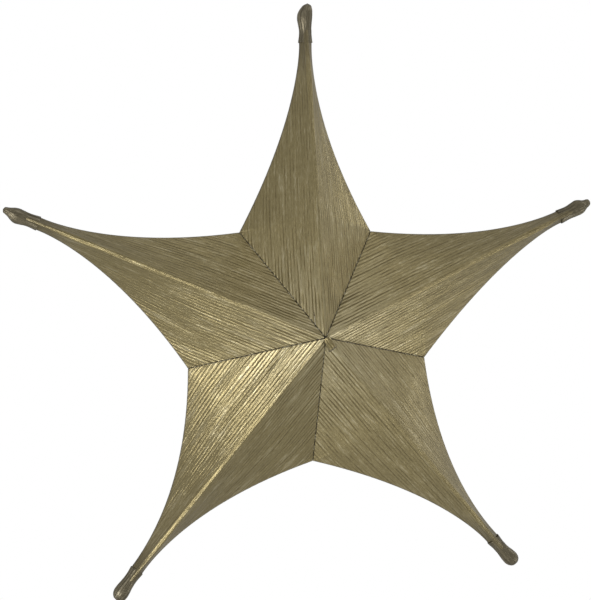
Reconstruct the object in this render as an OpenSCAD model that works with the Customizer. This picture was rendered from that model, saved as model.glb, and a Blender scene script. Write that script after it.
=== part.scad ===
// Folding hanging star. Five arms of cloth are stretched over wire ribs. Each arm has a front rib and a
// rear rib, which meet in a clevis at the tip. Their other ends turn on two hubs on one axis. Pulling
// the hubs apart along Y draws the five tips in to the axis, so the star folds to a slim bundle.
// The front faces -Y, the hanging arm points to +Z, and the origin is the eye in the hanging tip.

/* [Star] */
// Distance from the centre to the end of each tip
tip_reach = 218; // [180:1:300]
// Height of the front and rear peaks over the middle plane
peak_height = 59; // [47:1:75]
// Distance from the centre to each inner corner
corner_reach = 82.5; // [66:0.5:99]

/* [Arm spacing] */
// Angle from the top arm to the right arm
gap_top_right = 66.5; // [60:0.5:80]
// Angle from the right arm to the lower right arm
gap_right_side = 71; // [60:0.5:80]
// Angle between the two lower arms
gap_bottom = 79; // [60:0.5:80]
// Angle from the lower left arm to the left arm
gap_left_side = 76; // [60:0.5:80]

/* [Cloth] */
// Thickness of the cloth with its backing
cloth_t = 0.6; // [0.4:0.1:1]
// Half the width of an arm at its neck
neck_half_width = 4.3; // [4:0.1:6]
// Height of the ridge over the middle plane where the cover ends
neck_height = 5.6; // [5.5:0.1:7]
// Length of the straight neck behind the tip clevis
neck_length = 7; // [3:0.5:20]
// How sharply the side edges curve in, as a power
edge_power = 1.7; // [1.2:0.1:2.5]
// Half the width of the flat that a cover has along its rib
crest_half_width = 1.3; // [0.8:0.1:2]

/* [Ribs] */
// Diameter of the rib wire
rib_d = 2.6; // [1.8:0.1:3]
// Thickness of a rib's flattened end
eye_t = 1.5; // [1.2:0.1:1.8]
// Outer radius of a rib's eye
eye_r = 2.1; // [1.8:0.1:2.4]
// Length of the flattened end, from its pivot
flat_length = 7.5; // [6.5:0.5:12]
// Diameter of the hinge pins
pin_d = 1.6; // [1.2:0.1:2]

/* [Hubs] */
// Distance from the axis to the hub pivots
hub_pivot_r = 12; // [11:0.5:20]
// Radius of a hub's boss
boss_r = 6.5; // [6.2:0.1:8]
// Depth of the boss below the pivots
boss_depth = 6; // [5:0.5:12]
// Thickness of one ear of a hub lug
ear_t = 0.9; // [0.7:0.1:1.5]

/* [Centre post] */
// Outer diameter of the post
post_d = 8; // [6:0.1:8.4]
// Inner diameter of the post
post_bore_d = 5.5; // [3:0.1:5.6]
// Diameter of the catch spring's wire
catch_wire_d = 1.2; // [0.8:0.1:1.2]
// Depth of the catch groove in the post
catch_groove_depth = 0.3; // [0.2:0.05:0.4]

/* [Tips] */
// Distance from the end of a tip back to its hinge pin
tip_pivot_back = 15; // [14:0.5:20]
// Radius of the tip's clevis barrel
barrel_r = 3.6; // [3.5:0.1:4]
// Radius of the tip's bulb
bulb_r = 4.4; // [4.3:0.1:6]
// Radius of the round nose
nose_r = 2.35; // [2:0.05:3]
// Diameter of the eye through the nose
nose_eye_d = 1.6; // [1:0.1:2]

/* [Clearances] */
// Radial clearance of a running hinge or slide
running_gap = 0.06; // [0.02:0.01:0.1]
// Radial clearance of a pressed or glued fit
seat_gap = 0.02; // [0:0.01:0.05]
// Side clearance of a rib's eye
side_gap = 0.1; // [0.05:0.05:0.2]
// Clearance between cloth and what it doesn't touch
cloth_gap = 0.35; // [0.3:0.05:0.6]

/* [Hidden] */
$fn = 48;

TOP = 0;
RIGHT = 1;
LOWER_RIGHT = 2;
LOWER_LEFT = 3;
LEFT = 4;
ARMS = [TOP, RIGHT, LOWER_RIGHT, LOWER_LEFT, LEFT];
FRONT = -1;
REAR = 1;

cloth_gold = "darkkhaki";
tip_bronze = "dimgray";
steel = "silver";
hub_black = "darkslategray";

// Azimuths of the arms in the XZ plane, and the gap on each side of an arm.
gap_left_top = 360 - gap_top_right - gap_right_side - gap_bottom - gap_left_side;
azimuth = [
    90,
    90 - gap_top_right,
    90 - gap_top_right - gap_right_side,
    90 - gap_top_right - gap_right_side - gap_bottom,
    90 + gap_left_top
];
gap_after = [gap_top_right, gap_right_side, gap_bottom, gap_left_side, gap_left_top];
gap_before = [gap_left_top, gap_top_right, gap_right_side, gap_bottom, gap_left_side];

// Places along an arm, from the star's centre.
nose_sunk = 0.5;
barrel_past_eye = 1.1;
slot_past_eye = 0.9;
nose_at = tip_reach - nose_r;
bulb_at = nose_at - nose_r - bulb_r + nose_sunk;
tip_pivot_at = tip_reach - tip_pivot_back;
barrel_start = tip_pivot_at - eye_r - barrel_past_eye;
cover_end = barrel_start - cloth_gap;
neck_at = cover_end - neck_length;
cover_start = 2.5;

// The cloth's planes: along a ridge, along a valley, and down a panel beside its ridge.
ridge_slope = (peak_height - neck_height) / cover_end;
valley_slope = peak_height / corner_reach;
function crest(s) = peak_height - ridge_slope * s;
function panel_slope(g) = (valley_slope / cos(g) - ridge_slope) / tan(g);
steepest = panel_slope(min(gap_after) / 2);
cloth_drop = cloth_t * sqrt(1 + steepest * steepest);

// Ribs lie side by side, the front ones to one side of the arm's middle and the rear ones to the other.
rib_shift = eye_t / 2 + side_gap;
lug_half = eye_t / 2 + side_gap + ear_t;
lug_past_crest = max(0, lug_half - crest_half_width);
pivot_height = crest(hub_pivot_r + eye_r) - steepest * lug_past_crest - cloth_drop - cloth_gap - eye_r;
rib_run = tip_pivot_at - hub_pivot_r;
rib_length = sqrt(rib_run * rib_run + pivot_height * pivot_height);
rib_angle = atan2(pivot_height, rib_run);
post_past_pivots = 1;
bore_past_post = 0.5;
pin_hole_r = pin_d / 2 + seat_gap;
eye_bore_r = pin_d / 2 + running_gap;

// The catch spring rests half in the post's groove and half in the rear hub's.
catch_behind_pivots = 1.5;
catch_play = 0.2;
catch_side_play = 0.15;
catch_opening = 60;
catch_depth = pivot_height - catch_behind_pivots;
catch_ring_r = post_d / 2 - catch_groove_depth + catch_play + catch_wire_d / 2;

// The pin that holds the post in the front hub.
post_pin_r = 0.75;
post_pin_inset = 1.8;
post_pin_short = 0.6;
post_pin_depth = pivot_height - boss_depth + post_pin_inset;

// Puts what is drawn along +X, with the arm's own left at +Z, on an arm of the star.
module on_arm(arm) {
    translate([0, 0, -nose_at]) rotate([0, -azimuth[arm], 0]) children();
}

// Puts what is drawn towards +Y on the front or the rear of the star's centre.
module on_axis(side) {
    translate([0, 0, -nose_at]) mirror([0, side == FRONT ? 1 : 0, 0]) children();
}

// A cylinder along the arm, from one distance to another.
module rod(from, to, r) {
    translate([from, 0, 0]) rotate([0, 90, 0]) cylinder(h = to - from, r = r);
}

// A cylinder along the star's own axis, from one depth to another.
module barrel(from, to, r, top_r) {
    translate([0, from, 0]) rotate([-90, 0, 0]) cylinder(h = to - from, r1 = r, r2 = top_r);
}

// ---- Ribs ----

module rib(arm, side) {
    color(steel)
        on_arm(arm)
            translate([tip_pivot_at, 0, side * rib_shift])
                rotate([0, 0, 180 - side * rib_angle])
                    difference() {
                        union() {
                            for (end = [0, rib_length])
                                translate([end, 0, -eye_t / 2]) cylinder(h = eye_t, r = eye_r);
                            for (end = [0, rib_length - flat_length])
                                translate([end, -rib_d / 2, -eye_t / 2])
                                    cube([flat_length, rib_d, eye_t]);
                            rod(flat_length - 1, rib_length - flat_length + 1, rib_d / 2);
                        }
                        for (end = [0, rib_length])
                            translate([end, 0, -eye_t]) cylinder(h = 2 * eye_t, r = eye_bore_r);
                    }
}

// ---- Cloth covers ----

// Where a panel stops being sewn to its neighbour and starts on its own free edge.
function corner_at(g) = corner_reach * cos(g);
// The two stretches of a panel's edge, as a place along the arm for u from 0 to 1 to 2.
function edge_at(u, g) =
    u < 1 ? cover_start + (corner_at(g) - cover_start) * u
          : corner_at(g) + (cover_end - corner_at(g)) * (u - 1);
function free_half_width(s, g) =
    neck_half_width
        + (corner_reach * sin(g) - neck_half_width)
            * pow(max(0, (neck_at - s) / (neck_at - corner_at(g))), edge_power);
function edge_out(s, g) = s < corner_at(g) ? s * tan(g) - cloth_gap : free_half_width(s, g) - cloth_gap;
function edge_height(s, g) = max(cloth_gap, peak_height - valley_slope * s / cos(g));
// How much of the cloth's thickness is taken straight down at an edge, the rest being taken sideways.
function edge_drop(s, g) = min(cloth_drop, edge_height(s, g) - cloth_gap);

// One section: the outside of the cloth from edge to edge, and back along the inside.
function section(u, g_left, g_right, side) =
    let (s_left = edge_at(u, g_left), s_right = edge_at(u, g_right), s = (s_left + s_right) / 2)
    let (out_left = edge_out(s_left, g_left), out_right = edge_out(s_right, g_right))
    let (flat = min(crest_half_width, 0.4 * min(out_left, out_right)))
    let (mid = side * rib_shift * min(1, s / hub_pivot_r))
    let (drop_left = edge_drop(s_left, g_left), drop_right = edge_drop(s_right, g_right))
    let (in_left = out_left - (cloth_drop - drop_left) / steepest)
    let (in_right = out_right - (cloth_drop - drop_right) / steepest)
    [
        [s_left, edge_height(s_left, g_left), out_left],
        [s, crest(s), mid + flat],
        [s, crest(s), mid - flat],
        [s_right, edge_height(s_right, g_right), -out_right],
        [s_right, edge_height(s_right, g_right) - drop_right, -in_right],
        [s, crest(s) - cloth_drop, mid - flat],
        [s, crest(s) - cloth_drop, mid + flat],
        [s_left, edge_height(s_left, g_left) - drop_left, in_left]
    ];

sewn_steps = 5;
free_steps = 14;
stations = concat(
    [for (i = [0 : sewn_steps - 1]) i / sewn_steps],
    [for (i = [0 : free_steps]) 1 + i / free_steps]
);

module cover(arm, side) {
    g_left = gap_before[arm] / 2;
    g_right = gap_after[arm] / 2;
    points = [for (u = stations) each section(u, g_left, g_right, side)];
    ring = 8;
    last = (len(stations) - 1) * ring;
    // Each panel is split the same way outside and inside, so that its walls stay apart.
    walls = [
        for (i = [0 : len(stations) - 2], k = [0 : ring - 1])
            let (a = i * ring + k, b = i * ring + (k + 1) % ring)
            each k % 4 == 2 ? [[a, b, a + ring], [b, b + ring, a + ring]]
                            : [[a, b, b + ring], [a, b + ring, a + ring]]
    ];
    near_end = [for (k = [0 : 2]) each [[k, 6 - k, k + 1], [k, 7 - k, 6 - k]]];
    far_end = [for (face = near_end) [last + face[0], last + face[2], last + face[1]]];
    color(cloth_gold)
        on_arm(arm)
            mirror([0, side == FRONT ? 1 : 0, 0])
                polyhedron(points = points, faces = concat(walls, near_end, far_end));
}

// ---- Tips ----

module tip_cap(arm) {
    slot_half = eye_t + 2 * side_gap;
    slot_end = tip_pivot_at + eye_r + slot_past_eye;
    color(tip_bronze)
        on_arm(arm)
            difference() {
                union() {
                    rod(barrel_start, bulb_at, barrel_r);
                    translate([bulb_at, 0, 0]) sphere(r = bulb_r);
                    translate([nose_at, 0, 0]) sphere(r = nose_r);
                }
                translate([barrel_start - 1, -2 * bulb_r, -slot_half])
                    cube([slot_end - barrel_start + 1, 4 * bulb_r, 2 * slot_half]);
                translate([tip_pivot_at, 0, -2 * barrel_r]) cylinder(h = 4 * barrel_r, r = pin_hole_r);
                translate([nose_at, 0, -nose_r]) cylinder(h = 2 * nose_r, r = nose_eye_d / 2);
            }
}

module tip_pin(arm) {
    pin_short = 0.4;
    pin_length = 2 * barrel_r - pin_short;
    color(steel)
        on_arm(arm)
            translate([tip_pivot_at, 0, -pin_length / 2]) cylinder(h = pin_length, r = pin_d / 2);
}

// The sewn end of the cloth, drawn over the bulb and open around the nose.
module tip_pocket(arm) {
    pocket_clear = 0.05;
    pocket_inner_r = bulb_r + pocket_clear;
    mouth_lip = 0.1;
    pocket_start = bulb_at - sqrt(pow(pocket_inner_r, 2) - pow(barrel_r + pocket_clear, 2)) + mouth_lip;
    color(cloth_gold)
        on_arm(arm)
            difference() {
                translate([bulb_at, 0, 0]) sphere(r = pocket_inner_r + cloth_t);
                translate([bulb_at, 0, 0]) sphere(r = pocket_inner_r);
                rod(bulb_at - 2 * bulb_r, pocket_start, 2 * bulb_r);
                rod(bulb_at, bulb_at + 2 * bulb_r, nose_r + pocket_clear);
            }
}

// ---- Hubs ----

// Boss, cone under the peak, and five lugs. The bore for the post is open towards the star's middle.
module hub(side, bore_r) {
    cone_top_r = 1.5;
    web_gap = 0.4;
    lug_root = post_d / 2 + 1;
    lug_foot = side * rib_shift - lug_half;
    cone_foot = peak_height - valley_slope * boss_r - cloth_drop - cloth_gap;
    cone_top = peak_height - valley_slope * cone_top_r - cloth_drop - cloth_gap;
    web_end = hub_pivot_r - eye_r - web_gap;
    bore_end = pivot_height + post_past_pivots + bore_past_post;
    color(hub_black)
        on_axis(side)
            difference() {
                union() {
                    barrel(pivot_height - boss_depth, cone_foot, boss_r, boss_r);
                    barrel(cone_foot, cone_top, boss_r, cone_top_r);
                    for (arm = ARMS)
                        rotate([0, -azimuth[arm], 0])
                            difference() {
                                union() {
                                    translate([lug_root, pivot_height - eye_r, lug_foot])
                                        cube([hub_pivot_r - lug_root, 2 * eye_r, 2 * lug_half]);
                                    translate([hub_pivot_r, pivot_height, lug_foot])
                                        cylinder(h = 2 * lug_half, r = eye_r);
                                }
                                translate([web_end, 0, lug_foot + ear_t])
                                    cube([2 * eye_r + hub_pivot_r, 2 * pivot_height, eye_t + 2 * side_gap]);
                                translate([hub_pivot_r, pivot_height, lug_foot - lug_half])
                                    cylinder(h = 4 * lug_half, r = pin_hole_r);
                            }
                }
                barrel(pivot_height - boss_depth - 1, bore_end, bore_r, bore_r);
            }
}

module hub_pins(side) {
    color(steel)
        on_axis(side)
            for (arm = ARMS)
                rotate([0, -azimuth[arm], 0])
                    translate([hub_pivot_r, pivot_height, side * rib_shift - lug_half])
                        cylinder(h = 2 * lug_half, r = pin_d / 2);
}

module front_hub() {
    difference() {
        hub(FRONT, post_d / 2 + seat_gap);
        color(hub_black) post_pin_shape(2 * boss_r, post_pin_r + seat_gap);
    }
}

module rear_hub() {
    groove_half = catch_wire_d / 2 + catch_play;
    groove_r = catch_ring_r + catch_wire_d / 2 + catch_play;
    difference() {
        hub(REAR, post_d / 2 + running_gap);
        color(hub_black)
            on_axis(REAR) barrel(catch_depth - groove_half, catch_depth + groove_half, groove_r, groove_r);
    }
}

// ---- Centre post and its catch ----

module post_pin_shape(length, r) {
    on_axis(FRONT) translate([0, post_pin_depth, 0]) rod(-length / 2, length / 2, r);
}

module centre_post() {
    groove_half = catch_wire_d / 2 + catch_side_play;
    groove_floor_r = post_d / 2 - catch_groove_depth;
    end_depth = pivot_height + post_past_pivots;
    color(steel)
        difference() {
            translate([0, 0, -nose_at])
                difference() {
                    barrel(-end_depth, end_depth, post_d / 2, post_d / 2);
                    barrel(-end_depth - 1, end_depth + 1, post_bore_d / 2, post_bore_d / 2);
                    difference() {
                        barrel(catch_depth - groove_half, catch_depth + groove_half, post_d, post_d);
                        barrel(0, 2 * catch_depth, groove_floor_r, groove_floor_r);
                    }
                }
            post_pin_shape(2 * post_d, post_pin_r + seat_gap);
        }
}

module post_pin() {
    color(steel) post_pin_shape(2 * boss_r - post_pin_short, post_pin_r);
}

module catch_spring() {
    color(steel)
        on_axis(REAR)
            translate([0, catch_depth, 0])
                rotate([-90, 0, 0])
                    rotate_extrude(angle = 360 - catch_opening)
                        translate([catch_ring_r, 0]) circle(d = catch_wire_d, $fn = 24);
}

rib(TOP, FRONT);  // top_front_rib
rib(RIGHT, FRONT);  // right_front_rib
rib(LOWER_RIGHT, FRONT);  // lower_right_front_rib
rib(LOWER_LEFT, FRONT);  // lower_left_front_rib
rib(LEFT, FRONT);  // left_front_rib
rib(TOP, REAR);  // top_rear_rib
rib(RIGHT, REAR);  // right_rear_rib
rib(LOWER_RIGHT, REAR);  // lower_right_rear_rib
rib(LOWER_LEFT, REAR);  // lower_left_rear_rib
rib(LEFT, REAR);  // left_rear_rib
cover(TOP, FRONT);  // top_front_cover
cover(RIGHT, FRONT);  // right_front_cover
cover(LOWER_RIGHT, FRONT);  // lower_right_front_cover
cover(LOWER_LEFT, FRONT);  // lower_left_front_cover
cover(LEFT, FRONT);  // left_front_cover
cover(TOP, REAR);  // top_rear_cover
cover(RIGHT, REAR);  // right_rear_cover
cover(LOWER_RIGHT, REAR);  // lower_right_rear_cover
cover(LOWER_LEFT, REAR);  // lower_left_rear_cover
cover(LEFT, REAR);  // left_rear_cover
tip_cap(TOP);  // top_tip_cap
tip_cap(RIGHT);  // right_tip_cap
tip_cap(LOWER_RIGHT);  // lower_right_tip_cap
tip_cap(LOWER_LEFT);  // lower_left_tip_cap
tip_cap(LEFT);  // left_tip_cap
tip_pin(TOP);  // top_tip_pin
tip_pin(RIGHT);  // right_tip_pin
tip_pin(LOWER_RIGHT);  // lower_right_tip_pin
tip_pin(LOWER_LEFT);  // lower_left_tip_pin
tip_pin(LEFT);  // left_tip_pin
tip_pocket(TOP);  // top_tip_pocket
tip_pocket(RIGHT);  // right_tip_pocket
tip_pocket(LOWER_RIGHT);  // lower_right_tip_pocket
tip_pocket(LOWER_LEFT);  // lower_left_tip_pocket
tip_pocket(LEFT);  // left_tip_pocket
front_hub();
rear_hub();
hub_pins(FRONT);  // front_hub_pins
hub_pins(REAR);  // rear_hub_pins
centre_post();
post_pin();
catch_spring();
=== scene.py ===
"""Looks of a folding hanging star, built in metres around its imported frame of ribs, hubs and tips."""

import logging
import math
from dataclasses import dataclass, field
from enum import Enum
from typing import Sequence, Union

import bpy
import numpy as np
from mathutils import Matrix, Vector


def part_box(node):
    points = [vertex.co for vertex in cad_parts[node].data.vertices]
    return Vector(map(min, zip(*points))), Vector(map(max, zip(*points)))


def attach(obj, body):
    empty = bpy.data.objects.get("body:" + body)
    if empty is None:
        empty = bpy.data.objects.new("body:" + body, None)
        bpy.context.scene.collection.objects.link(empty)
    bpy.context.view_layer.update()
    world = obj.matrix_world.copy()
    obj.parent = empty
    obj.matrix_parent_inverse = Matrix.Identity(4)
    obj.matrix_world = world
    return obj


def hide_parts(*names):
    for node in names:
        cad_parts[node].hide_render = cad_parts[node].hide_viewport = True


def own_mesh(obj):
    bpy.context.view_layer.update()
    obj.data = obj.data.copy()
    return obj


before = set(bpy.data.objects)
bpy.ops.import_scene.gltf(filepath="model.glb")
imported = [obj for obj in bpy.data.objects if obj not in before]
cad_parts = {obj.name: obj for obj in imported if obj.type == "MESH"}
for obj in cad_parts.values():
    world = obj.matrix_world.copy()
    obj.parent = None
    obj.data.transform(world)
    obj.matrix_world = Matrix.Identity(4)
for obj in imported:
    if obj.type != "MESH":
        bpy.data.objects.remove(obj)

LOG = logging.getLogger("star")
MM = 0.001
DEEP = np.array([0.0, 1.0, 0.0])
FAR = 99.0
SEAM_POINTS = 60
FREE_POINTS = 160
Number = Union[int, float]


class Side(Enum):
    """The front or the rear of the star, by the sign of its depth."""

    FRONT = -1
    REAR = 1

    @property
    def word(self) -> str:
        """The side's name, as the frame's bodies and nodes have it."""
        return self.name.lower()


class Hand(Enum):
    """The side of an arm's ridge that a panel lies on, by the sign of its way across."""

    LEFT = 1
    RIGHT = -1

    @property
    def word(self) -> str:
        """The hand's name, in a piece's name."""
        return self.name.lower()


# ---- The frame's own lines ----


@dataclass(frozen=True)
class Arm:
    """One arm of the star, measured from its hinge pins."""

    name: str
    out: np.ndarray
    across: np.ndarray
    pin_at: float
    half_gap: dict[Hand, float]
    corner_reach: dict[Hand, float]
    bend: dict[Hand, float]

    @property
    def tip_body(self) -> str:
        """The body that holds the tip cap."""
        return f"{self.name}_tip"

    def rib_body(self, side: Side) -> str:
        """The body of the arm's rib on one side.

        Args:
            side: the front or the rear.

        Returns:
            The body's name.
        """
        return f"{self.name}_{side.word}"


@dataclass
class StarFrame:
    """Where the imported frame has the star's centre, arms and hubs."""

    names: tuple[str, ...] = ("top", "right", "lower_right", "lower_left", "left")
    corners: tuple[float, ...] = (82.0 * MM, 84.5 * MM, 86.7 * MM, 83.9 * MM, 82.0 * MM)
    bends: tuple[tuple[float, float], ...] = ((1.6, 1.75), (1.7, 1.5), (1.9, 1.62), (1.75, 1.95), (1.7, 1.7))
    centre: np.ndarray = field(init=False)
    arms: list[Arm] = field(init=False)

    def __post_init__(self) -> None:
        """Reads the centre from the post and the arms from their pins."""
        self.centre = self.middle("centre_post")
        pins = [self.middle(f"{name}_tip_pin") - self.centre for name in self.names]
        angles = [math.atan2(p[2], p[0]) for p in pins]
        self.arms = []
        for i, (name, pin) in enumerate(zip(self.names, pins)):
            before = (angles[i - 1] - angles[i]) % math.tau
            after = (angles[i] - angles[(i + 1) % len(angles)]) % math.tau
            reach = float(np.linalg.norm(pin))
            out = pin / reach
            gaps = {Hand.LEFT: before / 2, Hand.RIGHT: after / 2}
            corners = {Hand.LEFT: self.corners[i - 1], Hand.RIGHT: self.corners[i]}
            bends = dict(zip((Hand.LEFT, Hand.RIGHT), self.bends[i]))
            self.arms.append(Arm(name, out, np.cross(out, DEEP), reach, gaps, corners, bends))

    @staticmethod
    def middle(node: str) -> np.ndarray:
        """The middle of a CAD node's box.

        Args:
            node: the node's name.

        Returns:
            The point, in metres.
        """
        low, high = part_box(node)
        return (np.array(low) + np.array(high)) / 2

    def place(self, arm: Arm, side: Side, hand: Hand, local: np.ndarray) -> np.ndarray:
        """Turns points along, out of and across an arm into the row's frame.

        Args:
            arm: the arm.
            side: the front or the rear.
            hand: which way across the arm is positive.
            local: points of (along, outward, across), in metres.

        Returns:
            The same points in the row's frame.
        """
        axes = np.stack([arm.out, DEEP * side.value, arm.across * hand.value])
        return self.centre + local @ axes


# ---- Shader maths ----


class Value:
    """A shader socket that takes part in Python expressions."""

    def __init__(self, graph: "Graph", socket: bpy.types.NodeSocket) -> None:
        """Wraps one output socket of a graph."""
        self.graph = graph
        self.socket = socket

    def _math(self, operation: str, *values: "Value | Number") -> "Value":
        """Adds one Math node over numbers and sockets."""
        return self.graph.node("ShaderNodeMath", {"operation": operation}, dict(enumerate(values)))

    def __add__(self, other: "Value | Number") -> "Value":
        """Sum."""
        return self._math("ADD", self, other)

    def __sub__(self, other: "Value | Number") -> "Value":
        """Difference."""
        return self._math("SUBTRACT", self, other)

    def __rsub__(self, other: Number) -> "Value":
        """Difference from a number."""
        return self._math("SUBTRACT", other, self)

    def __mul__(self, other: "Value | Number") -> "Value":
        """Product."""
        return self._math("MULTIPLY", self, other)

    def __truediv__(self, other: "Value | Number") -> "Value":
        """Quotient."""
        return self._math("DIVIDE", self, other)

    __radd__ = __add__
    __rmul__ = __mul__

    def sine(self) -> "Value":
        """Sine of the value in radians."""
        return self._math("SINE", self)

    def power(self, exponent: Number) -> "Value":
        """The value raised to a power."""
        return self._math("POWER", self, exponent)

    def clamped(self) -> "Value":
        """The value kept from 0 to 1."""
        return self.graph.node("ShaderNodeClamp", {}, {"Value": self})

    def ramp(self, low: Number, high: Number) -> "Value":
        """The value's smooth rise from 0 at low to 1 at high.

        Args:
            low: where the result is 0.
            high: where the result is 1.

        Returns:
            The result.
        """
        inputs = {"Value": self, "From Min": low, "From Max": high}
        return self.graph.node("ShaderNodeMapRange", {"interpolation_type": "SMOOTHSTEP"}, inputs)


class Graph:
    """One material's node tree, with a Principled shader at its end."""

    def __init__(self, name: str) -> None:
        """Makes an empty material with its shader and output."""
        self.material = bpy.data.materials.new(name)
        self.material.use_nodes = True
        self.tree = self.material.node_tree
        self.tree.nodes.clear()
        self.shader = self.tree.nodes.new("ShaderNodeBsdfPrincipled")
        output = self.tree.nodes.new("ShaderNodeOutputMaterial")
        self.tree.links.new(self.shader.outputs[0], output.inputs["Surface"])

    def put(self, socket: bpy.types.NodeSocket, value: object) -> None:
        """Links or sets one input socket.

        Args:
            socket: the input.
            value: a Value to link, or a plain number, colour or vector to set.
        """
        if isinstance(value, Value):
            self.tree.links.new(value.socket, socket)
        else:
            socket.default_value = value

    def node(self, kind: str, settings: dict, inputs: dict, output: Union[int, str] = 0) -> Value:
        """Adds any node.

        Args:
            kind: the node's type.
            settings: the node's own properties.
            inputs: values or links, by the sockets' names or numbers.
            output: which output to return.

        Returns:
            The chosen output.
        """
        made = self.tree.nodes.new(kind)
        for key, value in settings.items():
            setattr(made, key, value)
        for key, value in inputs.items():
            self.put(made.inputs[key], value)
        return Value(self, made.outputs[output])

    def mix(self, share: Value, first: object, second: object) -> Value:
        """Mixes two colours.

        Args:
            share: how much of the second shows, from 0 to 1.
            first: a colour as a tuple or a Value.
            second: the other colour.

        Returns:
            The mixed colour.
        """
        made = self.tree.nodes.new("ShaderNodeMix")
        made.data_type = "RGBA"
        self.put(made.inputs["Factor"], share)
        for socket, colour in ((made.inputs[6], first), (made.inputs[7], second)):
            self.put(socket, colour if isinstance(colour, Value) else (*colour, 1.0))
        return Value(self, made.outputs[2])

    def noise(self, vector: Value, scale: Number, detail: Number = 2.0, roughness: Number = 0.5) -> Value:
        """Adds a noise pattern.

        Args:
            vector: where it is read.
            scale: its scale.
            detail: its octaves.
            roughness: how much the finer octaves count.

        Returns:
            The pattern, about 0.5 on average.
        """
        inputs = {"Vector": vector, "Scale": scale, "Detail": detail, "Roughness": roughness}
        return self.node("ShaderNodeTexNoise", {}, inputs)

    def bump(self, height: Value, depth: float, strength: float = 1.0) -> None:
        """Bends the surface's light by a height pattern.

        Args:
            height: the pattern, from 0 to 1.
            depth: how high 1 stands, in metres.
            strength: how much of the bend shows.
        """
        inputs = {"Height": height, "Distance": depth, "Strength": strength}
        self.put(self.shader.inputs["Normal"], self.node("ShaderNodeBump", {}, inputs))


# ---- Finishes ----


@dataclass(frozen=True)
class LameCloth:
    """Gold metal-thread cloth in fine pleats that run along the arm."""

    name: str = "gold_lame"
    # dark is the weave's deep tone and the painted shade in the pleat grooves; pale is the painted highlight
    # colour.
    dark: tuple = (0.175, 0.14, 0.066)
    gold: tuple = (0.36, 0.296, 0.145)
    pale: tuple = (0.72, 0.65, 0.44)
    rim: tuple = (0.2, 0.185, 0.155)
    seam: tuple = (0.045, 0.036, 0.02)
    drawn: tuple = (0.13, 0.112, 0.075)
    metal: float = 0.88
    shine: float = 0.31
    pleat_pitch: float = 2.4
    thread_pitch: float = 0.45
    stitch: float = 2.4

    def build(self) -> bpy.types.Material:
        """Makes the material.

        Returns:
            The material, which reads the cloth's grain and border attributes in millimetres.
        """
        g = Graph(self.name)
        grain = {"Vector": g.node("ShaderNodeAttribute", {"attribute_name": "grain"}, {}, "Vector")}
        along, over = (g.node("ShaderNodeSeparateXYZ", {}, grain, axis) for axis in (0, 1))
        border = {"Vector": g.node("ShaderNodeAttribute", {"attribute_name": "border"}, {}, "Vector")}
        free, sewn, out = (g.node("ShaderNodeSeparateXYZ", {}, border, axis) for axis in (0, 1, 2))
        # Near the hub: stronger pleat bumps, and painted highlights on the pleat crests there.
        gathered = 1 - out.ramp(8.0, 80.0)
        pulled = out.ramp(172.0, 210.0)

        def stretched(length: float, pitch: float) -> Value:
            """The cloth's plane, scaled for a pattern long along the arm and narrow across it."""
            return g.node("ShaderNodeCombineXYZ", {}, {0: along / length, 1: over / pitch})

        wander = g.noise(stretched(48.0, 9.0), 1.0, 1.0) * 4.0
        wave = (over * (math.tau / self.pleat_pitch) + wander).sine() * 0.5 + 0.5
        held = g.noise(stretched(24.0, 2.6), 1.0, 2.0).ramp(0.38, 0.62)
        pleat = 1 - (1 - wave).power(2.5) * held
        thread = g.noise(stretched(4.0, self.thread_pitch), 1.0, 2.0, 0.6)
        # Fine flecks: painted glints in the colour, and tiny bumps.
        speck = g.noise(stretched(0.8, 0.55), 1.0, 1.0).ramp(0.52, 0.78)
        cloud = g.noise(stretched(40.0, 18.0), 1.0, 2.0)
        # Painted sheen: long bright streaks along the threads, painted into the colour.
        sheen = g.noise(stretched(26.0, 3.6), 1.0, 3.0, 0.6).ramp(0.45, 0.72)
        # The tone darkens the colour in the pleat grooves as painted shade and lightens it along the sheen
        # streaks as painted sheen; the thread and cloud parts are the weave's own tone.
        tone = (pleat * 0.36 + thread.ramp(0.25, 0.75) * 0.34 + cloud * 0.12 + sheen * 0.24).clamped()
        colour = g.mix(tone.ramp(0.05, 0.75), self.dark, self.gold)
        # Painted highlight: the top of the tone, the flecks as painted glints and the pleat crests near the
        # hub are mixed towards the pale colour.
        painted_highlight = tone.ramp(0.6, 1.0) * 0.55 + speck * 0.2 + gathered * pleat.ramp(0.5, 1.0) * 0.22
        colour = g.mix(painted_highlight.clamped(), colour, self.pale)
        colour = g.mix(0.85 * (1 - free.ramp(0.2, 2.0)), colour, self.rim)
        colour = g.mix(pulled * 0.6, colour, self.drawn)
        dash = (along * (math.tau / self.stitch)).sine() * 0.5 + 0.5
        colour = g.mix((1 - sewn.ramp(0.2, 1.1)) * (0.55 + 0.45 * dash), colour, self.seam)
        g.put(g.shader.inputs["Base Color"], colour)
        g.put(g.shader.inputs["Metallic"], self.metal)
        g.put(g.shader.inputs["Roughness"], (self.shine + 0.2 * (1 - pleat) - 0.05 * speck).clamped())
        g.bump(thread * 0.48 + pleat * (0.45 + 0.4 * gathered) + speck * 0.02, 0.4 * MM, 1.0)
        return g.material


# A darker lamé for the tip pockets; its pale colour is their painted highlight.
TIGHT_LAME = LameCloth(
    "tight_lame", (0.045, 0.038, 0.022), (0.17, 0.145, 0.09), (0.42, 0.38, 0.28), metal=0.6
)


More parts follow.
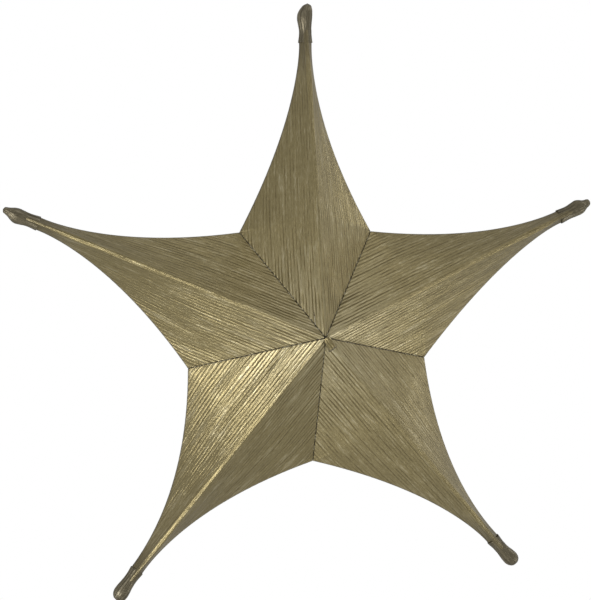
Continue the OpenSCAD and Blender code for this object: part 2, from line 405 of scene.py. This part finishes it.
@dataclass(frozen=True)
class Thread:
    """Dark sewing thread, with a twist along it."""

    name: str = "seam_thread"
    deep: tuple = (0.03, 0.024, 0.015)
    # Paler colour for painted glints on the thread.
    painted_glint: tuple = (0.5, 0.46, 0.33)

    def build(self) -> bpy.types.Material:
        """Makes the material."""
        g = Graph(self.name)
        place = g.node("ShaderNodeTexCoord", {}, {}, "Object")
        twist = g.noise(place, 2600.0, 2.0)
        # Painted glints: random paler patches along the dark thread, painted into its colour.
        patch = g.noise(place, 420.0, 1.0).ramp(0.47, 0.55)
        g.put(g.shader.inputs["Base Color"], g.mix(patch, self.deep, self.painted_glint))
        g.put(g.shader.inputs["Roughness"], 0.6)
        g.bump(twist, 0.1 * MM, 0.7)
        return g.material


@dataclass(frozen=True)
class Moulded:
    """Moulded plastic with a fine spark texture."""

    name: str
    colour: tuple
    roughness: float = 0.5

    def build(self) -> bpy.types.Material:
        """Makes the material."""
        g = Graph(self.name)
        place = g.node("ShaderNodeTexCoord", {}, {}, "Object")
        grit = g.noise(place, 3200.0, 3.0, 0.6)
        patch = g.noise(place, 90.0, 3.0).ramp(0.35, 0.7)
        pale = tuple(min(1.0, 1.7 * c + 0.01) for c in self.colour)
        g.put(g.shader.inputs["Base Color"], g.mix(patch * 0.5 + grit * 0.2, self.colour, pale))
        g.put(g.shader.inputs["Roughness"], self.roughness + patch * 0.15)
        g.bump(grit, 0.06 * MM, 0.5)
        return g.material


@dataclass(frozen=True)
class Metal:
    """Drawn or turned metal, with fine marks and dull patches."""

    name: str
    colour: tuple
    roughness: float = 0.3

    def build(self) -> bpy.types.Material:
        """Makes the material."""
        g = Graph(self.name)
        place = g.node("ShaderNodeTexCoord", {}, {}, "Object")
        marks = g.noise(place, 1800.0, 4.0, 0.7)
        dull = g.noise(place, 140.0, 3.0).ramp(0.4, 0.75)
        dark = tuple(0.6 * c for c in self.colour)
        g.put(g.shader.inputs["Base Color"], g.mix(dull * 0.6 + marks * 0.2, self.colour, dark))
        g.put(g.shader.inputs["Metallic"], 1.0)
        g.put(g.shader.inputs["Roughness"], self.roughness + dull * 0.2)
        g.bump(marks, 0.03 * MM, 0.5)
        return g.material


# ---- Smooth irregularity ----


class Lattice:
    """Seeded smooth noise over a plane, read at any scale."""

    def __init__(self, seed: int, size: int = 64) -> None:
        """Fills the lattice with numbers from -1 to 1."""
        self.table = np.random.default_rng(seed).uniform(-1, 1, (size, size))
        self.size = size

    def read(self, x: np.ndarray, y: np.ndarray, cell_x: float, cell_y: float) -> np.ndarray:
        """Reads the noise.

        Args:
            x: places along the first way, in metres.
            y: places along the second way.
            cell_x: the lattice's spacing along the first way.
            cell_y: its spacing along the second.

        Returns:
            A value from -1 to 1 for each place.
        """
        u, v = x / cell_x, y / cell_y
        i, j = np.floor(u).astype(int), np.floor(v).astype(int)
        fu, fv = u - i, v - j
        fu, fv = fu * fu * (3 - 2 * fu), fv * fv * (3 - 2 * fv)
        corner = lambda a, b: self.table[(i + a) % self.size, (j + b) % self.size]
        low = corner(0, 0) * (1 - fu) + corner(1, 0) * fu
        high = corner(0, 1) * (1 - fu) + corner(1, 1) * fu
        return low * (1 - fv) + high * fv


def grid_mesh(name: str, points: np.ndarray, flip: bool, close: bool = False) -> bpy.types.Object:
    """Makes a mesh object from a grid of points.

    Args:
        name: the object's name.
        points: rows by columns by 3, in metres.
        flip: whether the faces are wound the other way.
        close: whether the last column joins the first.

    Returns:
        The object, smooth shaded.
    """
    rows, columns = points.shape[:2]
    index = np.arange(rows * columns).reshape(rows, columns)
    if close:
        index = np.concatenate([index, index[:, :1]], axis=1)
    quads = np.stack([index[:-1, :-1], index[:-1, 1:], index[1:, 1:], index[1:, :-1]], -1).reshape(-1, 4)
    if flip:
        quads = quads[:, ::-1]
    mesh = bpy.data.meshes.new(name)
    mesh.from_pydata(points.reshape(-1, 3).tolist(), [], quads.tolist())
    mesh.polygons.foreach_set("use_smooth", [True] * len(mesh.polygons))
    mesh.update()
    made = bpy.data.objects.new(name, mesh)
    bpy.context.collection.objects.link(made)
    return made


def paint(piece: bpy.types.Object, name: str, parts: Sequence[np.ndarray]) -> None:
    """Stores a vector at each of a piece's points.

    Args:
        piece: the piece.
        name: the attribute's name.
        parts: the vector's three parts, each in the points' order.
    """
    values = np.stack([part.ravel() for part in parts], -1).astype(np.float32)
    piece.data.attributes.new(name, "FLOAT_VECTOR", "POINT").data.foreach_set("vector", values.ravel())


def apply_modifiers(piece: bpy.types.Object) -> None:
    """Makes a piece's modifiers part of its mesh."""
    graph = bpy.context.evaluated_depsgraph_get()
    mesh = bpy.data.meshes.new_from_object(piece.evaluated_get(graph), depsgraph=graph)
    piece.modifiers.clear()
    piece.data = mesh


# ---- Cloth panels ----


@dataclass
class Cloth:
    """The sewn skin of the star: its outline, its thickness and its small shapes."""

    peak: float = 59 * MM
    neck_half_width: float = 4.3 * MM
    neck_crest: float = 5.6 * MM
    thickness: float = 0.35 * MM
    crest_r: float = 1.9 * MM
    rim_r: float = 1.3 * MM
    seam_r: float = 0.8 * MM
    hollow: float = 0.8 * MM
    neck_length: float = 40 * MM
    neck_crest_gain: float = 0.8 * MM
    neck_rim_gain: float = 1.6 * MM
    row: float = 0.45 * MM
    columns: int = 72
    pleat_pitch: float = 2.4 * MM
    pleat_height: float = 0.12 * MM
    stitch: float = 2.4 * MM


@dataclass
class Panel:
    """Half of one arm's cover: the cloth from its ridge to a valley seam and a free edge."""

    star: StarFrame
    cloth: Cloth
    arm: Arm
    side: Side
    hand: Hand
    start: float = 1.2 * MM
    cover_end: float = field(init=False)
    neck_at: float = field(init=False)
    slope: float = field(init=False)
    table: dict[str, np.ndarray] = field(init=False)

    def __post_init__(self) -> None:
        """Works out the panel's edge and its sections along the ridge."""
        self.cover_end = self.arm.pin_at + 0.5 * MM
        self.neck_at = self.arm.pin_at - 11 * MM
        self.slope = math.atan2(self.cloth.peak - self.cloth.neck_crest, self.arm.pin_at - 3.5 * MM)
        self.table = self._sections()

    @property
    def gap(self) -> float:
        """Half the angle to the next arm on this hand."""
        return self.arm.half_gap[self.hand]

    @property
    def number(self) -> int:
        """A number of the panel's own, for its irregular shapes."""
        return 4 * self.star.arms.index(self.arm) + self.side.value + 1 + (self.hand.value + 1) // 2

    @property
    def corner_place(self) -> float:
        """Where along the ridge the valley seam ends."""
        return float(self.table["place"][SEAM_POINTS - 1])

    @property
    def name(self) -> str:
        """The panel's name."""
        return f"{self.arm.name}_{self.side.word}_{self.hand.word}_panel"

    def edge(self) -> np.ndarray:
        """The panel's far edge from the peak to the corner and on to the neck.

        Returns:
            Points of (along, outward, across).
        """
        c = self.cloth
        reach = self.arm.corner_reach[self.hand]
        corner = np.array([reach * math.cos(self.gap), 0.0, reach * math.sin(self.gap)])
        share = np.linspace(0.0, 1.0, SEAM_POINTS)[:, None]
        seam = np.array([0.0, c.peak, 0.0]) * (1 - share) + corner * share
        along = np.linspace(corner[0], self.cover_end, FREE_POINTS)[1:]
        left = np.clip((self.neck_at - along) / (self.neck_at - corner[0]), 0, 1)
        width = c.neck_half_width + (corner[2] - c.neck_half_width) * left ** self.arm.bend[self.hand]
        free = np.stack([along, np.zeros_like(along), width], 1)
        return np.concatenate([seam, free])

    def _sections(self) -> dict[str, np.ndarray]:
        """Sizes of the panel's cross-section for places along the ridge."""
        c = self.cloth
        edge = self.edge()
        cos, sin = math.cos(self.slope), math.sin(self.slope)
        place = edge[:, 0] * cos + (c.peak - edge[:, 1]) * sin
        depth = (c.peak - edge[:, 1]) * cos - edge[:, 0] * sin
        width = np.maximum(edge[:, 2], 1e-6)
        is_seam = np.arange(len(edge)) < SEAM_POINTS
        neck = np.clip((edge[:, 0] - (self.neck_at - c.neck_length)) / c.neck_length, 0, 1)
        crest_r = np.minimum(c.crest_r + c.neck_crest_gain * neck, 0.35 * width)
        rim = np.where(is_seam, c.seam_r, c.rim_r + c.neck_rim_gain * neck)
        rim_r = np.minimum(rim, 0.3 * width)
        run = np.hypot(width - rim_r, depth - crest_r)
        lean = np.arctan2(depth - crest_r, width - rim_r)
        tilt = lean + np.arcsin(np.clip((crest_r - rim_r) / run, -1, 1))
        flat = np.sqrt(np.maximum(run**2 - (crest_r - rim_r) ** 2, 0))
        total = crest_r * tilt + flat + rim_r * (math.pi / 2 - tilt)
        return {
            "place": place, "depth": depth, "width": width, "crest_r": crest_r, "rim_r": rim_r,
            "tilt": tilt, "flat": flat, "total": total,
        }

    def at(self, key: str, place: np.ndarray) -> np.ndarray:
        """One size of the cross-section, read at places along the ridge."""
        return np.interp(place, self.table["place"], self.table[key])

    def grid(self) -> tuple[np.ndarray, np.ndarray]:
        """Lays rows along the threads, each from the valley seam to the free edge or the neck.

        Returns:
            The place along the ridge and the distance from it, each rows by columns.
        """
        t = self.table
        seam = SEAM_POINTS
        longest = float(t["total"][seam - 1])
        rows = int(math.ceil(longest / self.cloth.row))
        over = np.linspace(0, longest * 0.9995, rows + 1)
        first = np.interp(over, t["total"][:seam], t["place"][:seam])
        first = np.maximum(first, self.start)
        free_total = np.minimum.accumulate(t["total"][seam - 1 :])
        last = np.interp(-over, -free_total, t["place"][seam - 1 :])
        ease = (1 - np.cos(np.linspace(0, math.pi, self.cloth.columns))) / 2
        place = first[:, None] + (last - first)[:, None] * ease[None, :]
        return place, np.repeat(over[:, None], self.cloth.columns, axis=1)

    def surface(self, place: np.ndarray, over: np.ndarray) -> tuple[np.ndarray, np.ndarray]:
        """The smooth cloth, before its small shapes.

        Args:
            place: places along the ridge.
            over: distances from the ridge, along the cloth.

        Returns:
            Points of (along, outward, across), and the unit normals there.
        """
        crest_r, rim_r = self.at("crest_r", place), self.at("rim_r", place)
        tilt, flat = self.at("tilt", place), self.at("flat", place)
        width, depth = self.at("width", place), self.at("depth", place)
        bend = crest_r * tilt
        on_crest = over < bend
        on_rim = over > bend + flat
        turn = np.where(
            on_crest,
            over / np.maximum(crest_r, 1e-9),
            np.where(on_rim, tilt + (over - bend - flat) / np.maximum(rim_r, 1e-9), tilt),
        )
        turn = np.clip(turn, 0, math.pi / 2)
        across = np.where(
            on_rim,
            width - rim_r + rim_r * np.sin(turn),
            crest_r * np.sin(turn) + np.where(on_crest, 0, (over - bend) * np.cos(tilt)),
        )
        height = np.where(
            on_rim,
            rim_r * np.cos(turn) - depth,
            crest_r * (np.cos(turn) - 1) - np.where(on_crest, 0, (over - bend) * np.sin(tilt)),
        )
        cos, sin = math.cos(self.slope), math.sin(self.slope)
        along = place * cos + height * sin
        outward = self.cloth.peak - place * sin + height * cos
        points = np.stack([along, outward, across], -1)
        normal = np.stack([np.cos(turn) * sin, np.cos(turn) * cos, np.sin(turn)], -1)
        return points, normal

    def relief(self, place: np.ndarray, over: np.ndarray) -> np.ndarray:
        """Heights of the cloth's small shapes: its hollow, its streaks and the puckers along the seam.

        Args:
            place: places along the ridge.
            over: distances from the ridge.

        Returns:
            The height above the smooth cloth, in metres.
        """
        c = self.cloth
        total = self.at("total", place)
        share = np.clip(over / total, 0, 1)
        widest = float(self.table["total"].max())
        hollow = -c.hollow * np.sin(math.pi * share) * (total / widest) ** 1.3
        noise = Lattice(1000 + self.number)
        wander = 0.9 * MM * noise.read(place, over, 30 * MM, 9 * MM)
        near_hub = np.exp(-place / (60 * MM))
        strength = (0.6 + 0.6 * noise.read(place + 0.5, over, 26 * MM, 2.6 * MM)) * (0.5 + 1.3 * near_hub)
        fade = np.clip(over / (2 * MM), 0, 1) * np.clip((total - over) / (1.2 * MM), 0, 1)
        pleat = np.sin(math.tau * (over + wander) / c.pleat_pitch)
        broad = 1.1 * MM * noise.read(place, over + 0.3, 34 * MM, 7 * MM) * share * (1 - share)
        sewn = np.clip(1 - (total - over) / (3 * MM), 0, 1) * (place < self.corner_place)
        pucker = -0.18 * MM * sewn * (0.5 + 0.5 * np.cos(math.tau * place / c.stitch))
        return hollow + fade * (c.pleat_height * strength * pleat + broad) + pucker

    def build(self, material: bpy.types.Material) -> bpy.types.Object:
        """Makes the panel, and ties it to its rib.

        Args:
            material: the cloth.

        Returns:
            The panel.
        """
        place, over = self.grid()
        points, normal = self.surface(place, over)
        points = points + normal * self.relief(place, over)[..., None]
        world = self.star.place(self.arm, self.side, self.hand, points)
        flip = self.side.value * self.hand.value > 0
        piece = grid_mesh(self.name, world, flip)
        to_edge = (self.at("total", place) - over) / MM
        is_sewn = place < self.corner_place
        nowhere = np.full_like(to_edge, FAR)
        border = [np.where(is_sewn, nowhere, to_edge), np.where(is_sewn, to_edge, nowhere), place / MM]
        paint(piece, "grain", [place / MM + 400 * self.number, over / MM, nowhere])
        paint(piece, "border", border)
        piece.data.materials.append(material)
        thick = piece.modifiers.new("thickness", "SOLIDIFY")
        thick.thickness = self.cloth.thickness
        thick.offset = -1.0
        apply_modifiers(piece)
        self.tie(piece)
        return piece

    def tie(self, piece: bpy.types.Object) -> None:
        """Makes the cloth move with its rib and stand for its CAD cover.

        Args:
            piece: the panel.
        """
        self.follow(piece)
        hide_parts(f"{self.arm.name}_{self.side.word}_cover")
        f"{self.arm.name}_{self.side.word}_rib"

    def follow(self, piece: bpy.types.Object) -> None:
        """Makes a piece move with the panel's rib.

        Args:
            piece: the panel, or something sewn to it.
        """
        axis, anchor = self.fold_line()
        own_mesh(piece)
        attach(piece, self.arm.rib_body(self.side))

    def fold_line(self) -> tuple[tuple, tuple]:
        """A way in the panel's own plane and square to its ridge.

        Returns:
            The way, and a point on the ridge, in the row's frame.
        """
        tilt = float(self.table["tilt"][SEAM_POINTS - 1])
        cos, sin = math.cos(self.slope), math.sin(self.slope)
        local = np.array([-math.sin(tilt) * sin, -math.sin(tilt) * cos, math.cos(tilt)])
        way = self.star.place(self.arm, self.side, self.hand, local) - self.star.centre
        peak = self.star.place(self.arm, self.side, self.hand, np.array([0.0, self.cloth.peak, 0.0]))
        return tuple(way), tuple(peak)


# ---- Tip pockets ----


@dataclass(frozen=True)
class TipShape:
    """A pocket's outline: for places past the hinge pin, its middle and its half-width, in millimetres."""

    past: tuple[float, ...]
    middle: tuple[float, ...]
    half: tuple[float, ...]
    deep: tuple[float, ...]


THUMB = TipShape(
    (-8.0, 0.0, 4.0, 8.0, 12.0, 15.0, 17.3, 18.3),
    (0.1, 0.1, 0.35, 0.5, 0.1, -0.7, -1.3, -1.5),
    (4.75, 4.15, 4.55, 5.05, 4.85, 3.8, 2.1, 0.1),
    (5.1, 4.4, 4.7, 4.9, 4.6, 3.6, 2.0, 0.1),
)
NOSED_RIGHT = TipShape(
    (-8.0, 0.0, 4.0, 7.0, 9.5, 11.5, 13.0, 15.0, 16.3, 16.8),
    (0.0, 0.1, 0.3, 0.5, 0.4, 0.35, 0.5, 0.7, 0.8, 0.8),
    (4.9, 4.5, 5.0, 5.3, 4.7, 3.6, 2.95, 2.4, 1.4, 0.1),
    (5.1, 4.5, 4.7, 4.8, 4.6, 3.9, 3.1, 2.4, 1.4, 0.1),
)
NOSED_LEFT = TipShape(
    (-8.0, 0.0, 4.0, 7.0, 10.0, 12.0, 13.5, 15.2, 16.6, 17.0),
    (0.0, 0.2, 0.5, 0.6, 0.4, 0.2, 0.1, 0.0, 0.0, 0.0),
    (4.85, 4.5, 5.0, 5.2, 4.4, 3.4, 2.75, 2.2, 1.2, 0.1),
    (5.1, 4.5, 4.7, 4.8, 4.5, 3.7, 2.9, 2.2, 1.2, 0.1),
)
ROUND = TipShape(
    (-8.0, 0.0, 4.0, 8.0, 11.5, 13.8, 15.2, 15.9, 16.2),
    (0.0, 0.0, 0.0, 0.15, 0.3, 0.4, 0.4, 0.4, 0.4),
    (4.75, 4.2, 4.5, 5.0, 5.05, 4.3, 3.1, 1.8, 0.1),
    (5.1, 4.4, 4.6, 4.9, 4.8, 4.0, 2.9, 1.7, 0.1),
)
TIPS = {"top": THUMB, "right": NOSED_RIGHT, "lower_right": ROUND, "lower_left": ROUND, "left": NOSED_LEFT}


@dataclass
class Pocket:
    """The tight sewn end of the cloth over one tip's bulb and nose."""

    star: StarFrame
    arm: Arm
    rows: int = 90
    columns: int = 64

    def build(self, material: bpy.types.Material) -> bpy.types.Object:
        """Makes the pocket on its tip cap.

        Args:
            material: the cloth.

        Returns:
            The pocket.
        """
        shape = TIPS[self.arm.name]
        ease = np.sin(np.linspace(0, math.pi / 2, self.rows))
        past = shape.past[0] + (shape.past[-1] - shape.past[0]) * ease
        rows = (shape.middle, shape.half, shape.deep)
        middle, half, deep = (smooth_read(past, shape.past, row) for row in rows)
        turn = np.linspace(0, math.tau, self.columns, endpoint=False)[None, :]
        noise = Lattice(300 + self.star.arms.index(self.arm))
        fold = 1 + 0.03 * noise.read(past[:, None], 8 + 7 * np.cos(turn), 9.0, 2.1)
        fold = fold + 0.014 * np.sin(11 * turn + 0.15 * past[:, None])
        across = middle[:, None] + half[:, None] * np.sin(turn) * fold
        outward = deep[:, None] * np.cos(turn) * fold
        along = np.repeat(past[:, None] + self.arm.pin_at / MM, self.columns, axis=1)
        local = np.stack([along, outward, across], -1) * MM
        piece = grid_mesh(
            f"{self.arm.name}_pocket",
            self.star.place(self.arm, Side.FRONT, Hand.LEFT, local),
            True,
            close=True,
        )
        over = np.repeat(turn * 4.6, self.rows, axis=0)
        nowhere = np.full_like(over, FAR)
        paint(piece, "grain", [along + 900 * self.star.arms.index(self.arm), over, nowhere])
        paint(piece, "border", [nowhere, nowhere, nowhere])
        piece.data.materials.append(material)
        thick = piece.modifiers.new("thickness", "SOLIDIFY")
        thick.thickness = 0.3 * MM
        thick.offset = -1.0
        apply_modifiers(piece)
        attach(piece, self.arm.tip_body)
        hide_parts(f"{self.arm.name}_tip_pocket")
        return piece


def smooth_read(at: np.ndarray, places: Sequence[float], values: Sequence[float]) -> np.ndarray:
    """Reads a smooth curve through some points.

    Args:
        at: where it is read.
        places: the points' places, rising.
        values: the points' values.

    Returns:
        The curve's values.
    """
    x, y = np.array(places), np.array(values)
    slope = np.gradient(y, x)
    i = np.clip(np.searchsorted(x, at) - 1, 0, len(x) - 2)
    width = x[i + 1] - x[i]
    t = np.clip((at - x[i]) / width, 0, 1)
    start = y[i] * (1 + 2 * t) * (1 - t) ** 2 + slope[i] * width * t * (1 - t) ** 2
    return start + y[i + 1] * t * t * (3 - 2 * t) + slope[i + 1] * width * t * t * (t - 1)


# ---- Seams ----


@dataclass
class Seam:
    """The row of stitches down one valley, between an arm and the next one round."""

    star: StarFrame
    cloth: Cloth
    panel: Panel
    thread_r: float = 0.3 * MM
    per_stitch: int = 8

    def build(self, material: bpy.types.Material) -> bpy.types.Object:
        """Makes the stitches, and ties them to the panel they are sewn to.

        Args:
            material: the thread.

        Returns:
            The row of stitches.
        """
        edge = self.panel.edge()[:SEAM_POINTS]
        start, end = edge[0], edge[-1]
        length = float(np.linalg.norm(end - start))
        way = (end - start) / length
        count = int(length / self.cloth.stitch * self.per_stitch)
        run = np.linspace(2.5 * MM, length - 0.5 * MM, count)
        noise = Lattice(700 + self.panel.number)
        beat = np.abs(np.sin(math.pi * run / self.cloth.stitch)) ** 0.6
        radius = self.thread_r * (0.3 + 0.7 * beat)
        sway = 0.22 * MM * noise.read(run, run * 0, 3 * MM, 1.0)
        side_way = np.array([-math.sin(self.panel.gap), 0.0, math.cos(self.panel.gap)])
        lift = np.cross(side_way, way)
        lift = lift * np.sign(lift[1])
        middle = start + run[:, None] * way + sway[:, None] * side_way - 0.1 * MM * lift
        turn = np.linspace(0, math.tau, 8, endpoint=False)
        ring = np.cos(turn)[:, None] * side_way + np.sin(turn)[:, None] * lift
        points = middle[:, None, :] + radius[:, None, None] * ring[None]
        world = self.star.place(self.panel.arm, self.panel.side, self.panel.hand, points)
        piece = grid_mesh(f"{self.panel.arm.name}_{self.panel.side.word}_seam", world, False, close=True)
        piece.data.materials.append(material)
        self.panel.follow(piece)
        return piece


@dataclass
class Centre:
    """The gathered middle of the front: a folded end of cloth and the crease beside it."""

    star: StarFrame
    cloth: Cloth
    tag_turn: float = -52.0
    tag_length: float = 9.5 * MM
    tag_half_width: float = 3.1 * MM
    tag_lift: float = 2.3 * MM
    crease: tuple[tuple[float, float, float], ...] = (
        (-5.9, 49.9, 17.0),
        (-5.4, 52.5, 8.0),
        (-5.1, 55.9, -1.5),
    )
    crease_r: float = 0.28 * MM

    def tag(self, material: bpy.types.Material) -> bpy.types.Object:
        """Makes the folded end of cloth.

        Args:
            material: the cloth.

        Returns:
            The tag.
        """
        turn = math.radians(self.tag_turn)
        out, over = np.array([math.cos(turn), math.sin(turn)]), np.array([-math.sin(turn), math.cos(turn)])
        u, v = np.meshgrid(np.linspace(0, 1, 40), np.linspace(-1, 1, 44), indexing="ij")
        half = self.tag_half_width * (0.45 + 0.55 * np.sqrt(u))
        run, side = u * self.tag_length, v * half
        pleat = 0.4 * MM * np.cos(3.4 * math.pi * v) * np.sqrt(u)
        lift = self.tag_lift * np.sin(math.pi * (0.12 + 0.8 * u)) - 1.6 * MM * v**4 * u - 0.35 * MM
        outward = self.cloth.peak - 0.27 * run - 0.28 * np.abs(side) + lift + pleat
        plane = run[..., None] * out + side[..., None] * over
        points = self.star.centre + np.stack([plane[..., 0], -outward, plane[..., 1]], -1)
        piece = grid_mesh("centre_tag", points, False)
        nowhere = np.full_like(run, FAR)
        paint(piece, "grain", [run / MM + 5000, side / MM, nowhere])
        paint(piece, "border", [(1 - np.maximum(u, np.abs(v))) * 14, nowhere, nowhere])
        piece.data.materials.append(material)
        thick = piece.modifiers.new("thickness", "SOLIDIFY")
        thick.thickness = self.cloth.thickness
        apply_modifiers(piece)
        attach(piece, "front_hub")
        return piece

    def fold(self, material: bpy.types.Material) -> bpy.types.Object:
        """Makes the crease as a sunk line of thread.

        Args:
            material: the thread.

        Returns:
            The crease.
        """
        knots = np.array(self.crease)
        share = np.linspace(0, 1, 60)
        line = np.stack([smooth_read(share, (0.0, 0.5, 1.0), knots[:, axis]) for axis in range(3)], -1) * MM
        turn = np.linspace(0, math.tau, 8, endpoint=False)
        radius = self.crease_r * np.sin(math.pi * (0.08 + 0.84 * share))
        ring = np.stack([np.cos(turn), np.sin(turn), 0 * turn], -1)
        points = line[:, None, :] + radius[:, None, None] * ring[None]
        points = self.star.centre + points * np.array([1.0, -1.0, 1.0])
        piece = grid_mesh("centre_crease", points, True, close=True)
        piece.data.materials.append(material)
        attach(piece, "front_hub")
        return piece


# ---- Camera and light ----


@dataclass(frozen=True)
class Lamp:
    """A square soft light, in degrees round and above the star, metres and watts."""

    name: str
    azimuth: float
    elevation: float
    power: float
    size: float = 0.45
    distance: float = 1.6


LAMPS = (
    Lamp("key", -45.0, -4.0, 11.0, size=0.8),
    Lamp("left", -90.0, -26.0, 2.4),
    Lamp("low_left", -35.0, -30.0, 2.6),
    Lamp("right", 90.0, 35.0, 2.6),
    Lamp("low_right", 65.0, -30.0, 2.5),
    Lamp("low_far_right", 100.0, -25.0, 0.5),
    Lamp("far_right", 110.0, 10.0, 0.5),
    Lamp("level_right", 80.0, -5.0, 1.2),
    Lamp("under", -10.0, -55.0, 1.0),
    Lamp("top_right", 35.0, 60.0, 0.7),
    Lamp("top", 0.0, 85.0, 0.5),
)


@dataclass
class Studio:
    """A camera, a pale floor and soft lights around the star."""

    star: StarFrame
    azimuth: float = -12.7
    elevation: float = 3.1
    roll: float = -0.12
    distance: float = 1.675
    ambient: float = 0.415
    floor_drop: float = 1.7
    lens: float = 151.2
    sensor: float = 36.0
    shift: tuple[float, float] = (-0.0176, 0.0562)

    def camera(self) -> None:
        """Makes the camera, aimed at the star's centre."""
        turn, rise = math.radians(self.azimuth), math.radians(self.elevation)
        way = Vector((math.sin(turn) * math.cos(rise), -math.cos(turn) * math.cos(rise), math.sin(rise)))
        data = bpy.data.cameras.new("camera")
        data.sensor_fit = "HORIZONTAL"
        data.sensor_width = self.sensor
        data.lens = self.lens
        data.shift_x, data.shift_y = self.shift
        eye = bpy.data.objects.new("camera", data)
        bpy.context.collection.objects.link(eye)
        centre = Vector(self.star.centre)
        aim = (-way).to_track_quat("-Z", "Y").to_matrix().to_4x4()
        eye.matrix_world = (
            Matrix.Translation(centre + way * self.distance)
            @ aim
            @ Matrix.Rotation(math.radians(self.roll), 4, "Z")
        )
        bpy.context.scene.camera = eye

    def lamp(self, lamp: Lamp) -> None:
        """Adds a square soft light that faces the star.

        Args:
            lamp: where it stands, its size and its power.
        """
        turn, rise = math.radians(lamp.azimuth), math.radians(lamp.elevation)
        way = Vector((math.sin(turn) * math.cos(rise), -math.cos(turn) * math.cos(rise), math.sin(rise)))
        data = bpy.data.lights.new(lamp.name, "AREA")
        data.size = lamp.size
        data.energy = lamp.power
        light = bpy.data.objects.new(lamp.name, data)
        bpy.context.collection.objects.link(light)
        place = Matrix.Translation(Vector(self.star.centre) + way * lamp.distance)
        light.matrix_world = place @ (-way).to_track_quat("-Z", "Y").to_matrix().to_4x4()

    def floor(self) -> None:
        """Adds a round pale floor under the star."""
        count = 96
        reach = np.array([0.02, 1.5, 3.0])
        angle = np.linspace(0, math.tau, count, endpoint=False)
        ring = np.stack([np.cos(angle), np.sin(angle), np.zeros(count)], -1)
        level = np.array([0.0, 0.0, self.star.centre[2] - self.floor_drop])
        points = reach[:, None, None] * ring[None] + level
        floor = grid_mesh("floor", points, False, close=True)
        g = Graph("pale_floor")
        place = g.node("ShaderNodeTexCoord", {}, {}, "Object")
        colour = g.mix(g.noise(place, 12.0), (0.8, 0.8, 0.79), (0.84, 0.84, 0.83))
        g.put(g.shader.inputs["Base Color"], colour)
        g.put(g.shader.inputs["Roughness"], 0.7)
        floor.data.materials.append(g.material)

    def sky(self, ambient: float) -> None:
        """Gives an even light, with a plain white surround behind the star.

        Args:
            ambient: the strength of the light.
        """
        world = bpy.data.worlds.new("surround")
        bpy.context.scene.world = world
        world.use_nodes = True
        tree = world.node_tree
        tree.nodes.clear()
        output = tree.nodes.new("ShaderNodeOutputWorld")
        white, grey = tree.nodes.new("ShaderNodeBackground"), tree.nodes.new("ShaderNodeBackground")
        white.inputs["Color"].default_value = (1.0, 1.0, 1.0, 1.0)
        grey.inputs["Color"].default_value = (1.0, 1.0, 1.0, 1.0)
        grey.inputs["Strength"].default_value = ambient
        seen, path = tree.nodes.new("ShaderNodeMixShader"), tree.nodes.new("ShaderNodeLightPath")
        tree.links.new(path.outputs["Is Camera Ray"], seen.inputs[0])
        tree.links.new(grey.outputs[0], seen.inputs[1])
        tree.links.new(white.outputs[0], seen.inputs[2])
        tree.links.new(seen.outputs[0], output.inputs["Surface"])

    def build(self) -> None:
        """Sets up the camera, the floor and the lights."""
        bpy.context.scene.view_settings.view_transform = "Standard"
        self.camera()
        self.floor()
        self.sky(self.ambient)
        for lamp in LAMPS:
            self.lamp(lamp)


# ---- CAD pieces that stay ----


@dataclass
class Hardware:
    """The CAD pieces that keep their own shape and get a finish."""

    finishes: dict[str, object] = field(
        default_factory=lambda: {
            "_rib": Metal("rib_wire", (0.55, 0.54, 0.52), 0.34),
            "_tip_cap": Moulded("tip_plastic", (0.075, 0.068, 0.055), 0.42),
            "_pin": Metal("pin_steel", (0.6, 0.6, 0.59), 0.25),
            "_pins": Metal("hinge_pin_steel", (0.6, 0.6, 0.59), 0.25),
            "_hub": Moulded("hub_plastic", (0.045, 0.045, 0.043), 0.5),
            "centre_post": Metal("post_aluminium", (0.72, 0.72, 0.73), 0.3),
            "catch_spring": Metal("spring_steel", (0.3, 0.3, 0.31), 0.28),
        }
    )

    def dress(self) -> None:
        """Gives each visible CAD node the finish that its name calls for."""
        made = {ending: finish.build() for ending, finish in self.finishes.items()}
        for node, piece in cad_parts.items():
            for ending, material in made.items():
                if node.endswith(ending) and not piece.hide_render:
                    piece.data.materials.clear()
                    piece.data.materials.append(material)
                    LOG.info("%s is dressed in %s", node, material.name)


def main() -> None:
    """Builds the star's looks in order."""
    logging.basicConfig(level=logging.INFO, format="%(name)s: %(message)s")
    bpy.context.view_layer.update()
    star = StarFrame()
    Studio(star).build()
    cloth = Cloth()
    gold = LameCloth().build()
    tight = TIGHT_LAME.build()
    thread = Thread().build()
    for arm in star.arms:
        for side in Side:
            for hand in Hand:
                panel = Panel(star, cloth, arm, side, hand)
                piece = panel.build(gold)
                LOG.info("%s has %d faces", piece.name, len(piece.data.polygons))
            piece = Seam(star, cloth, panel).build(thread)
            LOG.info("%s has %d faces", piece.name, len(piece.data.polygons))
        piece = Pocket(star, arm).build(tight)
        LOG.info("%s has %d faces", piece.name, len(piece.data.polygons))
    centre = Centre(star, cloth)
    for piece in (centre.tag(gold), centre.fold(thread)):
        LOG.info("%s has %d faces", piece.name, len(piece.data.polygons))
    Hardware().dress()


if __name__ == "__main__":
    main()
